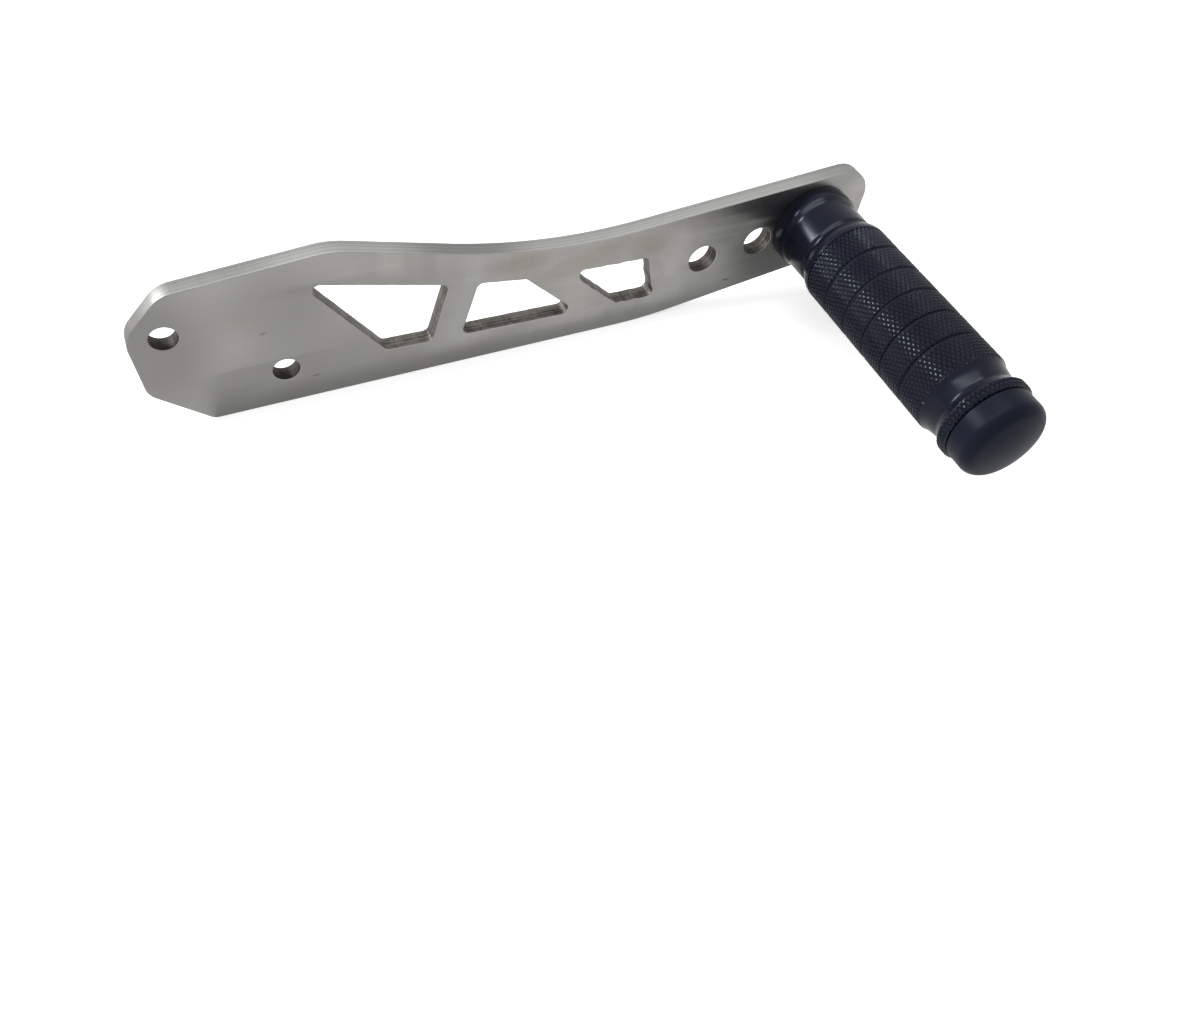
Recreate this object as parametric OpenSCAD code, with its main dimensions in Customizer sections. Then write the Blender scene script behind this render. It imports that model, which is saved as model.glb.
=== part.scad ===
// Knurled foot-lever peg on a laser-cut bracket plate.
// The plate stands in the XZ plane and the peg points along -Y.
// The origin is the centre of the upper fixing hole, on the plate's back face.

/* [Plate] */
// Thickness of the plate
plate_t = 6; // [4:0.5:8]
// Diameter of the two fixing holes
fix_hole_d = 8.5; // [6:0.1:10.5]
// Sideways distance from the upper to the lower fixing hole
fix_dx = 32.5; // [26:0.5:40]
// Drop from the upper to the lower fixing hole
fix_dz = 22.4; // [18:0.2:24]
// Metal to the left of the upper fixing hole
end_wall = 10.8; // [8.5:0.1:14]
// Height of the top edge above the upper fixing hole
crown_h = 15.1; // [12:0.1:19]
// Drop from the upper fixing hole to the straight lower edge
foot_drop = 36.2; // [34:0.2:44]
// Sideways distance from the upper fixing hole to the crest of the top edge
crest_x = 51.7; // [44:0.5:60]
// Slope of the two rising stretches of the top edge, in degrees
top_rise = 5; // [2:0.5:7]
// Slope of the falling stretch behind the crest, in degrees
top_fall = 14.8; // [12:0.2:17]
// Radius of the long hollow in the top edge
hollow_r = 290; // [150:5:320]
// Slope of the lower edge under the peg, in degrees
under_rise = 8.4; // [4:0.2:11]

/* [Windows] */
// Sideways distance from the upper fixing hole to the first window
lattice_x = 41.2; // [36:0.2:50]
// Solid metal between the last window and the inner spare hole
lattice_gap = 18.3; // [13:0.1:22]
// Width of the rim above the windows
top_rim = 12.9; // [9:0.1:14]
// Width of the rim below the first window
low_rim = 13.2; // [9:0.1:14]
// Fall of the windows' lower sides towards the peg, in degrees
low_fall = 1.5; // [0:0.1:2]
// Radius in the corners of the windows
window_r = 2.2; // [1:0.1:4]

/* [Peg row] */
// Sideways distance from the upper fixing hole to the peg
peg_x = 225.2; // [187:0.2:271]
// Drop from the upper fixing hole to the peg
peg_drop = 8.5; // [6:0.5:11]
// Spacing of the peg's hole and the spare holes
row_pitch = 22.1; // [18.4:0.1:26.6]
// Number of spare holes beside the peg
spare_holes = 2; // [1:1:2]
// Slope of the row of holes, in degrees
row_rise = 7.5; // [5:0.5:9]
// Clearance of the spare holes and the peg's own hole round the screw
row_clear = 0.8; // [0.4:0.1:1.6]
// Metal above the peg's centre
peg_top_wall = 18.6; // [16:0.1:22.4]
// Metal below the peg's centre
peg_low_wall = 18; // [16:0.1:21.6]
// Metal to the right of the peg's centre
peg_end_wall = 20.6; // [17:0.1:25]
// Radius of the plate's corners beside the peg
peg_end_r = 11; // [6:0.5:14]

/* [Peg] */
// Diameter over the knurl
knurl_d = 32; // [26.5:0.1:38.5]
// Length of the peg's body from the plate to the cap
body_len = 106; // [88:0.1:128]
// Step from the knurl's radius down to the root that seats on the plate
root_step = 0.5; // [0:0.1:2]
// Length of the root's full diameter
root_len = 4; // [2:0.5:6]
// Step from the knurl's radius down to the neck
neck_step = 1.3; // [0.6:0.1:4]
// Distance from the plate to the start of the neck
neck_start = 11; // [8:0.5:14]
// Distance from the plate to the start of the knurl
knurl_start = 25.2; // [24:0.1:30]
// Radius of the shoulder that rises from the neck to the knurl
shoulder_r = 12; // [8:0.5:14]
// Number of knurled bands
bands = 6; // [4:1:7]
// Width of the ring grooves between the bands
ring_w = 1.4; // [1:0.1:2]
// Depth of the ring grooves
ring_depth = 0.7; // [0.4:0.1:1.2]
// Length of the deep waist behind the collar
waist_len = 9.2; // [7:0.1:12]
// Step from the knurl's radius down to the bottom of the waist
waist_step = 2.5; // [1:0.1:5]
// Length of the knurled collar at the outer end
collar_len = 3.8; // [3:0.1:6]

/* [Cap] */
// Step from the knurl's radius down to the end cap
cap_step = 1; // [0.2:0.1:3]
// Thickness of the cap's side and rounded edge
cap_t = 10.6; // [9:0.2:14]
// Radius of the cap's front edge
cap_edge_r = 4.6; // [2:0.2:6]
// Height of the cap's domed crown
crown_rise = 1.6; // [0.8:0.1:2.4]
// Diameter of the cap's stem
stem_d = 12; // [10:0.5:14]
// Length of the cap's stem
stem_len = 16; // [10:1:20]

/* [Fastening] */
// Thread diameter of the peg's screw
screw_d = 10; // [8:0.5:12]
// Length of the screw under its head
screw_len = 28; // [24:1:34]
// Diameter of the screw's button head
head_d = 17.5; // [15:0.5:19]
// Height of the screw's button head
head_h = 5.5; // [4.5:0.1:6.5]
// Width across the flats of the screw's hexagon socket
socket_af = 6; // [5:0.5:6.5]
// Depth of the hexagon socket
socket_depth = 3.2; // [2:0.1:3.6]
// Outside diameter of the screw's washer
washer_d = 20; // [18:0.5:22]
// Thickness of the screw's washer
washer_t = 2; // [1.5:0.1:2.5]
// Clearance of the washer round the screw
washer_clear = 0.5; // [0.3:0.1:1]

/* [Hidden] */
// gap between a stem or screw and the hole that it fills
fit_gap = 0.05;
// how far a blind hole runs past what goes into it
end_gap = 2;
// small edge break on turned pieces
edge = 0.4;
// overrun of cutters past the faces that they cut
over = 1;
// fineness of computed arcs: more steps a degree on a larger radius
arc_fineness = 0.1;
// run of the ring grooves' slanted flanks
ring_flank = 0.3;
// facets of a full turn
round_fn = 96;

peg_z = -peg_drop;
foot_z = -foot_drop;
row_hole_d = screw_d + row_clear;
knurl_r = knurl_d / 2;
neck_r = knurl_r - neck_step;
root_r = knurl_r - root_step;
waist_r = knurl_r - waist_step;
cap_r = knurl_r - cap_step;
waist_end = body_len - collar_len;
knurl_end = waist_end - waist_len;
band_pitch = (knurl_end - knurl_start) / bands;

// corner radii of the plate's outline, from its lower left corner round to the peg's end
foot_r = 4;
heel_r = 7;
nose_r = 10;
crest_r = 30;
belly_r = 150;
// the slanted lower left side and the slanted upper left side
heel = [-9.2, foot_z + 15.6];
foot_x = 7.6;
nose_angle = 47;
nose_drop = 13.3;
// lean of the plate's end beside the peg, from upright
end_lean = 3.5;

// sides of each window as shares of the lattice: top left, top right, bottom right, bottom left
window_shares = [
    [0, 0.378, 0.323, 0.196],
    [0.459, 0.597, 0.753, 0.408],
    [0.729, 0.966, 1, 0.88]
];

function dir(a) = [cos(a), sin(a)];
function unit(v) = v / norm(v);
function cross2(a, b) = a[0] * b[1] - a[1] * b[0];

// where the line through p at angle a meets the line through q at angle b
function meet(p, a, q, b) = p + dir(a) * cross2(q - p, dir(b)) / cross2(dir(a), dir(b));

function arc_steps(r, turn) = max(4, ceil(abs(turn) * sqrt(r) * arc_fineness));

// points of an arc round c, from angle a to angle b
function arc(c, r, a, b) =
    let (n = arc_steps(r, b - a))
    [for (i = [0:n]) c + r * dir(a + (b - a) * i / n)];

// points of a fillet of radius r at corner q, between its neighbours p and s
function fillet(p, q, s, r) =
    let (
        a = unit(p - q),
        b = unit(s - q),
        half = acos(a * b) / 2,
        room = 0.48 * min(norm(p - q), norm(s - q)) * tan(half),
        used = min(r, room),
        c = q + unit(a + b) * used / sin(half),
        start = q + a * used / tan(half) - c,
        a0 = atan2(start[1], start[0]),
        turn = (180 - 2 * half) * (cross2(-a, b) > 0 ? 1 : -1),
        n = arc_steps(used, turn)
    )
    [for (i = [0:n]) c + used * dir(a0 + turn * i / n)];

// closed outline of corners [x, z, radius] with every corner rounded
function rounded(corners) =
    let (n = len(corners), xz = [for (k = corners) [k[0], k[1]]])
    [for (i = [0:n - 1]) each fillet(xz[(i + n - 1) % n], xz[i], xz[(i + 1) % n], corners[i][2])];

function corner(p, r) = [p[0], p[1], r];

// centre of hole k of the peg row, counted from the peg towards the fixing holes
function row_hole(k) = [peg_x, peg_z] - k * row_pitch * dir(row_rise);

// corners of the top edge, from the construction lines of its stretches
crest = [crest_x, crown_h + crest_x * tan(top_rise)];
over_peg = [peg_x, peg_z + peg_top_wall];
hollow = meet(crest, -top_fall, over_peg, top_rise);
nose_low = meet([0, nose_drop], nose_angle, [-end_wall, 0], 90);
nose_high = meet([0, nose_drop], nose_angle, crest, top_rise);
// corners of the end beside the peg and of the lower edge
end_point = [peg_x + peg_end_wall, peg_z];
under_peg = [peg_x, peg_z - peg_low_wall];
end_top = meet(end_point, 90 - end_lean, over_peg, top_rise);
end_low = meet(end_point, 90 - end_lean, under_peg, under_rise);
belly = meet([foot_x, foot_z], 0, under_peg, under_rise);

plate_corners = [
    corner([foot_x, foot_z], foot_r),
    corner(belly, belly_r),
    corner(end_low, peg_end_r),
    corner(end_top, peg_end_r),
    corner(hollow, hollow_r),
    corner(crest, crest_r),
    corner(nose_high, nose_r),
    corner(nose_low, nose_r),
    corner(heel, heel_r)
];

// height of the top edge at x: falling line, hollow arc or rising line
hollow_half = (180 - top_fall - top_rise) / 2;
hollow_tangent = hollow_r / tan(hollow_half);
hollow_mid = hollow + dir(90 + (top_rise - top_fall) / 2) * hollow_r / sin(hollow_half);
function top_z(x) =
    x < hollow[0] - hollow_tangent * cos(top_fall) ? hollow[1] + (hollow[0] - x) * tan(top_fall) :
    x > hollow[0] + hollow_tangent * cos(top_rise) ? hollow[1] + (x - hollow[0]) * tan(top_rise) :
    hollow_mid[1] - sqrt(hollow_r ^ 2 - (x - hollow_mid[0]) ^ 2);

// heights of the windows' upper and lower sides at x
function window_top(x) = top_z(x) - top_rim;
function window_low(x) = foot_z + low_rim - (x - lattice_x) * tan(low_fall);

lattice_len = row_hole(spare_holes)[0] - lattice_gap - lattice_x;
function lattice_at(share) = lattice_x + share * lattice_len;

function window_corners(s) =
    let (x = [for (k = s) lattice_at(k)])
    [
        [x[0], window_top(x[0]), window_r],
        [x[1], window_top(x[1]), window_r],
        [x[2], window_low(x[2]), window_r],
        [x[3], window_low(x[3]), window_r]
    ];

// puts a flat XZ outline across the plate's thickness, from the front face to the back
module across_plate(extra = 0) {
    rotate([90, 0, 0])
        translate([0, 0, -extra])
            linear_extrude(plate_t + 2 * extra)
                children();
}

// round hole through the plate
module plate_hole(at, d) {
    translate([at[0], over, at[1]])
        rotate([90, 0, 0])
            cylinder(d = d, h = plate_t + 2 * over, $fn = round_fn);
}

module bracket_plate() {
    color("darkgray")
        difference() {
            across_plate()
                polygon(rounded(plate_corners));
            for (s = window_shares)
                across_plate(over)
                    polygon(rounded(window_corners(s)));
            plate_hole([0, 0], fix_hole_d);
            plate_hole([fix_dx, -fix_dz], fix_hole_d);
            for (k = [0:spare_holes])
                plate_hole(row_hole(k), row_hole_d);
        }
}

// stands a turned piece on the plate's front face, its axis along -Y
module from_front() {
    translate([peg_x, -plate_t, peg_z])
        rotate([90, 0, 0])
            children();
}

// stands a turned piece on the plate's back face, its axis along +Y
module from_back() {
    translate([peg_x, 0, peg_z])
        rotate([-90, 0, 0])
            children();
}

// smooth step of a turned profile from [r0, d0] to [r1, d1]
function swept_step(r0, d0, r1, d1, n = 10) =
    [for (i = [1:n]) [r0 + (r1 - r0) * (1 - cos(180 * i / n)) / 2, d0 + (d1 - d0) * i / n]];

// profile of the ring groove centred at distance d
function ring_groove(d) =
    let (w = ring_w / 2, floor_r = knurl_r - ring_depth)
    [[knurl_r, d - w], [floor_r, d - w + ring_flank], [floor_r, d + w - ring_flank], [knurl_r, d + w]];

// half of the body's turned section, as [radius, distance from the plate]
shoulder_mid = knurl_r - shoulder_r;
shoulder_turn = acos((neck_r - shoulder_mid) / shoulder_r);
waist_depth = knurl_r - edge - waist_r;
waist_curve_r = (waist_depth ^ 2 + (waist_len / 2) ^ 2) / (2 * waist_depth);
waist_turn = asin(waist_len / 2 / waist_curve_r);
body_profile = concat(
    [[0, 0], [root_r - edge, 0], [root_r, edge], [root_r, root_len]],
    swept_step(root_r, root_len, neck_r, neck_start),
    arc([shoulder_mid, knurl_start], shoulder_r, -shoulder_turn, 0),
    [for (i = [1:bands - 1]) each ring_groove(knurl_start + i * band_pitch)],
    [[knurl_r, knurl_end - edge]],
    arc([waist_r + waist_curve_r, (knurl_end + waist_end) / 2], waist_curve_r, 180 + waist_turn, 180 - waist_turn),
    [[knurl_r, waist_end + edge], [knurl_r, body_len - edge], [knurl_r - edge, body_len], [0, body_len]]
);

module peg_body() {
    color([0.10, 0.11, 0.14])
        from_front()
            difference() {
                rotate_extrude($fn = round_fn)
                    polygon(body_profile);
                // blind hole for the screw
                translate([0, 0, -over])
                    cylinder(r = screw_d / 2 + fit_gap, h = screw_len - washer_t - plate_t + end_gap + over,
                             $fn = round_fn);
                // blind hole for the cap's stem
                translate([0, 0, body_len - stem_len - end_gap])
                    cylinder(r = stem_d / 2 + fit_gap, h = stem_len + end_gap + over, $fn = round_fn);
            }
}

// half of the cap's turned section, as [radius, distance from the body's outer face]; the crown's
// curve runs on smoothly from the rounded edge
crown_flat = cap_r - cap_edge_r;
crown_core_r = (crown_flat ^ 2 + crown_rise ^ 2) / (2 * crown_rise);
crown_turn = asin(crown_flat / crown_core_r);
crown_curve_r = crown_core_r + cap_edge_r;
cap_profile = concat(
    [[0, -stem_len], [stem_d / 2 - edge, -stem_len], [stem_d / 2, edge - stem_len], [stem_d / 2, 0]],
    [[cap_r - edge, 0], [cap_r, edge]],
    arc([crown_flat, cap_t - cap_edge_r], cap_edge_r, 0, 90 - crown_turn),
    [for (a = [0.75, 0.5, 0.25, 0])
        [crown_curve_r * sin(a * crown_turn), cap_t + crown_rise - crown_curve_r * (1 - cos(a * crown_turn))]]
);

module end_cap() {
    color([0.11, 0.12, 0.15])
        from_front()
            translate([0, 0, body_len])
                rotate_extrude($fn = round_fn)
                    polygon(cap_profile);
}

// button head: a dome that ends in a short upright rim and a flat round the socket
head_rim = 0.8;
head_flat_r = socket_af * 0.62;
dome_h = head_h - head_rim;
dome_run = head_d / 2 - head_flat_r;
screw_profile = concat(
    [[0, -screw_len], [screw_d / 2 - edge, -screw_len], [screw_d / 2, edge - screw_len], [screw_d / 2, 0]],
    [[head_d / 2, 0], [head_d / 2, head_rim]],
    [for (a = [10:10:90]) [head_flat_r + dome_run * cos(a), head_rim + dome_h * sin(a)]],
    [[0, head_h]]
);

module peg_screw() {
    color("dimgray")
        from_back()
            translate([0, 0, washer_t])
                difference() {
                    rotate_extrude($fn = round_fn)
                        polygon(screw_profile);
                    translate([0, 0, head_h - socket_depth])
                        cylinder(d = socket_af / cos(30), h = socket_depth + over, $fn = 6);
                }
}

module peg_washer() {
    color("silver")
        from_back()
            difference() {
                cylinder(d = washer_d, h = washer_t, $fn = round_fn);
                translate([0, 0, -over])
                    cylinder(d = screw_d + washer_clear, h = washer_t + 2 * over, $fn = round_fn);
            }
}

bracket_plate();
peg_body();
end_cap();
peg_screw();
peg_washer();
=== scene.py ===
"""Looks of the foot-lever peg: a brushed, laser-cut bracket plate and a knurled black peg.

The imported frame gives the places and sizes, in metres. The plate stands in the XZ plane, the origin is
the centre of its upper fixing hole and the peg points along -Y.
"""

from __future__ import annotations

import logging
import math
from collections.abc import Callable, Mapping, Sequence
from dataclasses import dataclass, field
from enum import Enum

import bmesh
import bpy
import numpy as np
from mathutils import Matrix, Vector, noise
from mathutils.geometry import tessellate_polygon

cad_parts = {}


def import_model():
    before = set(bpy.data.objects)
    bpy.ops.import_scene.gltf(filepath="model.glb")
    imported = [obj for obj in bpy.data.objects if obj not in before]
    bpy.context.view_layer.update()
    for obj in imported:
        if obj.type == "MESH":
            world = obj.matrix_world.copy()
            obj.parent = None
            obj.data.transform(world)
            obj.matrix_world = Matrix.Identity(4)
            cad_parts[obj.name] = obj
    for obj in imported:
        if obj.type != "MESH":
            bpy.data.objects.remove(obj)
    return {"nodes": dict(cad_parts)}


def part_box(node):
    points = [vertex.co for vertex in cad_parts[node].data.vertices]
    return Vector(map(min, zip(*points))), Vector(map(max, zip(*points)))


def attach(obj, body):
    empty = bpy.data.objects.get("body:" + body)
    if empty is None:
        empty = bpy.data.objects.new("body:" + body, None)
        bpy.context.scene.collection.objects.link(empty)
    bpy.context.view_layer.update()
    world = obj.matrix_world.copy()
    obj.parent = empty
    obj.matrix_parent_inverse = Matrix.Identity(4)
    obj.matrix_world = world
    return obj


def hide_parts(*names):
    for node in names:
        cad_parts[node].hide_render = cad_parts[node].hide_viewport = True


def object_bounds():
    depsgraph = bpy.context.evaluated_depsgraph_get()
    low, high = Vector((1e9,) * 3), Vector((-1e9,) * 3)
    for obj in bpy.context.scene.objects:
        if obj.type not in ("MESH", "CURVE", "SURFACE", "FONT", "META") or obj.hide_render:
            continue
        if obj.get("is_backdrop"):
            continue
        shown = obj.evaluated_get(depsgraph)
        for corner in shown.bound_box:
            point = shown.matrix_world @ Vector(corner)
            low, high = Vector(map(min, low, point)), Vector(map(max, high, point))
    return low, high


LOG = logging.getLogger("foot_peg")
MM = 0.001
BODY = "root"
# what the crest layer holds in a ring groove and on the flanks of a knurl
GROOVE = -1.0
KNURL_FLANK = 0.15 * GROOVE
# how near two places are that count as one: on the flat knurl, and in metres on the plate
WELD = 1e-5
CUT = 1e-6
SAME = 1e-4
KEY_STEPS = 5e3
FRONT_NEAR = 1e-6
PLACE_DIGITS = 6
Colour = tuple[float, float, float]
Point2 = tuple[float, float]
Sockets = dict[str, bpy.types.NodeSocket]


class Slot(Enum):
    """Names of the material slots."""

    PLATE = "brushed_plate"
    PEG = "black_peg"
    CAP = "black_cap"
    SCREW = "screw_steel"
    WASHER = "washer_steel"


class Node(Enum):
    """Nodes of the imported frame."""

    PLATE = "bracket_plate"
    PEG = "peg_body"
    CAP = "end_cap"
    SCREW = "peg_screw"
    WASHER = "peg_washer"


class Layer(Enum):
    """Values stored on the points of a mesh, which the materials read.

    RIM rises to 1 on a rounded edge, and INNER is 0 round the plate and rises on the walls inside the
    openings: it gives them their burnt blotches, and makes a hole's wall darker, the most in a small hole.
    CREST is 1 on a knurl's crests, 0 on a smooth surface and falls to GROOVE in a groove.
    """

    RIM = "rim"
    INNER = "inner"
    CREST = "crest"


# node trees


class Wiring:
    """Builds one node tree, a node at a time."""

    def __init__(self, tree: bpy.types.NodeTree) -> None:
        """Starts on an empty tree."""
        self.tree = tree
        tree.nodes.clear()

    def add(self, kind: str, inputs: Mapping[str, object] | Mapping[int, object] | None = None,
            **settings: object) -> bpy.types.Node:
        """Adds a node.

        Args:
            kind: the node's type name.
            inputs: what each input takes, a socket to link or a value to set.
            **settings: properties of the node.

        Returns:
            The new node.
        """
        node = self.tree.nodes.new(kind)
        for key, value in settings.items():
            setattr(node, key, value)
        for key, value in (inputs or {}).items():
            self.give(node.inputs[key], value)
        return node

    def give(self, socket: bpy.types.NodeSocket, value: object) -> None:
        """Links a socket to an input, or sets its value.

        Args:
            socket: the input.
            value: the socket to link or the value to set.
        """
        if isinstance(value, bpy.types.NodeSocket):
            self.tree.links.new(value, socket)
        elif isinstance(value, tuple) and socket.type == "RGBA" and len(value) == 3:
            socket.default_value = (*value, 1.0)
        else:
            socket.default_value = value

    def calc(self, operation: str, *values: object, clamp: bool = False) -> bpy.types.NodeSocket:
        """Adds a Math node.

        Args:
            operation: the node's operation.
            *values: what its inputs take, in their order.
            clamp: whether the result is kept from 0 to 1.

        Returns:
            The result.
        """
        node = self.add("ShaderNodeMath", dict(enumerate(values)), operation=operation)
        node.use_clamp = clamp
        return node.outputs[0]

    def span(self, value: object, low: object, high: object, to_low: object = 0.0, to_high: object = 1.0,
             kind: str = "SMOOTHSTEP") -> bpy.types.NodeSocket:
        """Maps a value from one range to another, clamped, and returns the result."""
        inputs = {"Value": value, "From Min": low, "From Max": high, "To Min": to_low, "To Max": to_high}
        return self.add("ShaderNodeMapRange", inputs, interpolation_type=kind).outputs[0]

    def mix(self, share: object, first: object, second: object) -> bpy.types.NodeSocket:
        """Mixes two colours.

        Args:
            share: how much of the second colour shows.
            first: the first colour.
            second: the second colour.

        Returns:
            The mixed colour.
        """
        node = self.add("ShaderNodeMix", data_type="RGBA")
        for index, value in ((0, share), (6, first), (7, second)):
            self.give(node.inputs[index], value)
        return node.outputs[2]

    def blend(self, share: object, first: object, second: object) -> bpy.types.NodeSocket:
        """Mixes two values by the second one's share and returns the result."""
        inputs = {0: share, 2: first, 3: second}
        return self.add("ShaderNodeMix", inputs, data_type="FLOAT").outputs[0]

    def stretch(self, place: object, scale: Sequence[float]) -> bpy.types.NodeSocket:
        """Multiplies a place by a scale for each axis and returns the result."""
        node = self.add("ShaderNodeVectorMath", {0: place, 1: tuple(scale)}, operation="MULTIPLY")
        return node.outputs[0]

    def noise(self, place: object, scale: object, detail: float = 2.0, rough: float = 0.5,
              distortion: float = 0.0) -> bpy.types.NodeSocket:
        """Adds a Noise Texture.

        Args:
            place: the place on the object.
            scale: its scale.
            detail: its number of finer layers.
            rough: how strong those layers are.
            distortion: how far it is warped.

        Returns:
            Its value, of 0 to 1.
        """
        inputs = {"Vector": place, "Scale": scale, "Detail": detail, "Roughness": rough,
                  "Distortion": distortion}
        return self.add("ShaderNodeTexNoise", inputs).outputs[0]

    def place(self) -> bpy.types.NodeSocket:
        """Returns the place on the object, in metres."""
        return self.add("ShaderNodeTexCoord").outputs["Object"]

    def spot(self, place: object, at: Point2, reach: Point2, lean_deg: float) -> bpy.types.NodeSocket:
        """Makes a soft oval on the XZ plane.

        Args:
            place: the place on the object.
            at: the oval's centre, as X and Z in millimetres.
            reach: its half length and half height, in millimetres.
            lean_deg: its slope, in degrees.

        Returns:
            A value of 1 in the oval's middle and 0 outside it.
        """
        moved = {"Vector": place, "Location": (-at[0] * MM, 0.0, -at[1] * MM)}
        centred = self.add("ShaderNodeMapping", moved).outputs[0]
        turned = {"Vector": centred, "Rotation": (0.0, math.radians(lean_deg), 0.0)}
        lean = self.add("ShaderNodeMapping", turned).outputs[0]
        flat = self.stretch(lean, (1 / (reach[0] * MM), 0.0, 1 / (reach[1] * MM)))
        away = self.add("ShaderNodeVectorMath", {0: flat}, operation="LENGTH").outputs["Value"]
        return self.span(away, 0.25, 1.0, 1.0, 0.0)

    def layer(self, layer: Layer) -> bpy.types.NodeSocket:
        """Returns a value stored on the mesh."""
        return self.add("ShaderNodeAttribute", attribute_name=layer.value).outputs["Fac"]

    def bump(self, height: object, depth_mm: float) -> bpy.types.NodeSocket:
        """Turns a height of 0 to 1 into a normal, for a depth in millimetres, and returns it."""
        inputs = {"Height": height, "Strength": 1.0, "Distance": depth_mm * MM}
        return self.add("ShaderNodeBump", inputs).outputs[0]


@dataclass(frozen=True)
class Effect:
    """A shader node group that more than one material can use.

    Attributes:
        name: name of the group.
        takes: name of each input, with its first value.
        makes: name of each output, a value of 0 to 1.
        build: fills the tree, from its wiring and inputs to its outputs.
    """

    name: str
    takes: tuple[tuple[str, float], ...]
    makes: tuple[str, ...]
    build: Callable[[Wiring, Sockets], Sockets]

    def tree(self) -> bpy.types.NodeTree:
        """Makes the group's tree the first time, and finds it after that.

        Returns:
            The tree.
        """
        made = bpy.data.node_groups.get(self.name)
        if made is not None:
            return made
        tree = bpy.data.node_groups.new(self.name, "ShaderNodeTree")
        for name, value in self.takes:
            socket = tree.interface.new_socket(name, in_out="INPUT", socket_type="NodeSocketFloat")
            socket.default_value = value
        for name in self.makes:
            tree.interface.new_socket(name, in_out="OUTPUT", socket_type="NodeSocketFloat")
        wiring = Wiring(tree)
        group_in = wiring.add("NodeGroupInput")
        results = self.build(wiring, {name: group_in.outputs[name] for name, _ in self.takes})
        wiring.add("NodeGroupOutput", results)
        return tree

    def use(self, wiring: Wiring, **values: object) -> Sockets:
        """Places the group in a material.

        Args:
            wiring: the material's wiring.
            **values: the group's inputs, with an underscore for each space.

        Returns:
            The outputs by name.
        """
        node = wiring.add("ShaderNodeGroup", node_tree=self.tree())
        for key, value in values.items():
            wiring.give(node.inputs[key.replace("_", " ")], value)
        return {name: node.outputs[name] for name in self.makes}


def build_grain(wiring: Wiring, given: Sockets) -> Sockets:
    """Makes fine lines along X, as a belt or a brush leaves them, and slow bands across them.

    Args:
        wiring: the group's wiring.
        given: the group's inputs.

    Returns:
        The lines and the bands.
    """
    place = wiring.place()
    fine = wiring.noise(wiring.stretch(place, (14, 900, 2600)), given["Fineness"], 3.0, 0.6)
    strokes = wiring.noise(wiring.stretch(place, (5, 160, 420)), given["Fineness"], 2.0, 0.55)
    bands = wiring.noise(wiring.stretch(place, (9, 30, 34)), given["Fineness"], 1.0, 0.5)
    lines = wiring.calc("MULTIPLY_ADD", strokes, 0.45, wiring.calc("MULTIPLY", fine, 0.55))
    return {"Lines": lines, "Bands": wiring.span(bands, 0.3, 0.7)}


def build_wear(wiring: Wiring, given: Sockets) -> Sockets:
    """Makes rubbed edges: the rim's value, broken up by noise.

    Args:
        wiring: the group's wiring.
        given: the group's inputs.

    Returns:
        How much each place is rubbed.
    """
    place = wiring.place()
    patches = wiring.noise(place, wiring.calc("MULTIPLY", given["Scale"], 60.0), 3.0, 0.6)
    nicks = wiring.noise(place, wiring.calc("MULTIPLY", given["Scale"], 700.0), 2.0, 0.6)
    nicked = wiring.span(nicks, 0.5, 0.75, 0.0, 0.5)
    broken = wiring.calc("ADD", wiring.span(patches, 0.35, 0.7, 0.35, 1.0), nicked)
    worn = wiring.calc("MULTIPLY", wiring.span(given["Rim"], 0.25, 0.9), broken)
    return {"Mask": wiring.calc("MULTIPLY", worn, given["Amount"], clamp=True)}


def build_smudge(wiring: Wiring, given: Sockets) -> Sockets:
    """Makes soft marks of handling: slow clouds with a finer broken edge.

    Args:
        wiring: the group's wiring.
        given: the group's inputs.

    Returns:
        The marks and the finer film in them.
    """
    place = wiring.place()
    clouds = wiring.noise(place, wiring.calc("MULTIPLY", given["Scale"], 22.0), 2.0, 0.5, 0.6)
    film = wiring.noise(place, wiring.calc("MULTIPLY", given["Scale"], 180.0), 3.0, 0.6)
    soft = wiring.span(clouds, 0.44, 0.72)
    return {"Mask": wiring.calc("MULTIPLY", soft, wiring.span(film, 0.3, 0.7, 0.55, 1.0)), "Film": film}


GRAIN = Effect("line_grain", (("Fineness", 1.0),), ("Lines", "Bands"), build_grain)
WEAR = Effect("edge_wear", (("Rim", 0.0), ("Scale", 1.0), ("Amount", 1.0)), ("Mask",), build_wear)
SMUDGE = Effect("hand_marks", (("Scale", 1.0),), ("Mask", "Film"), build_smudge)


# finishes


@dataclass(frozen=True)
class Mark:
    """A mark at one place of the plate, on its front or its outer edge. Sizes are in millimetres.

    Attributes:
        at: its centre, as X and Z.
        reach: its half length and half height.
        lean_deg: its slope, in degrees.
        share: how strongly it shows.
    """

    at: Point2
    reach: Point2
    lean_deg: float
    share: float


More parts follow.
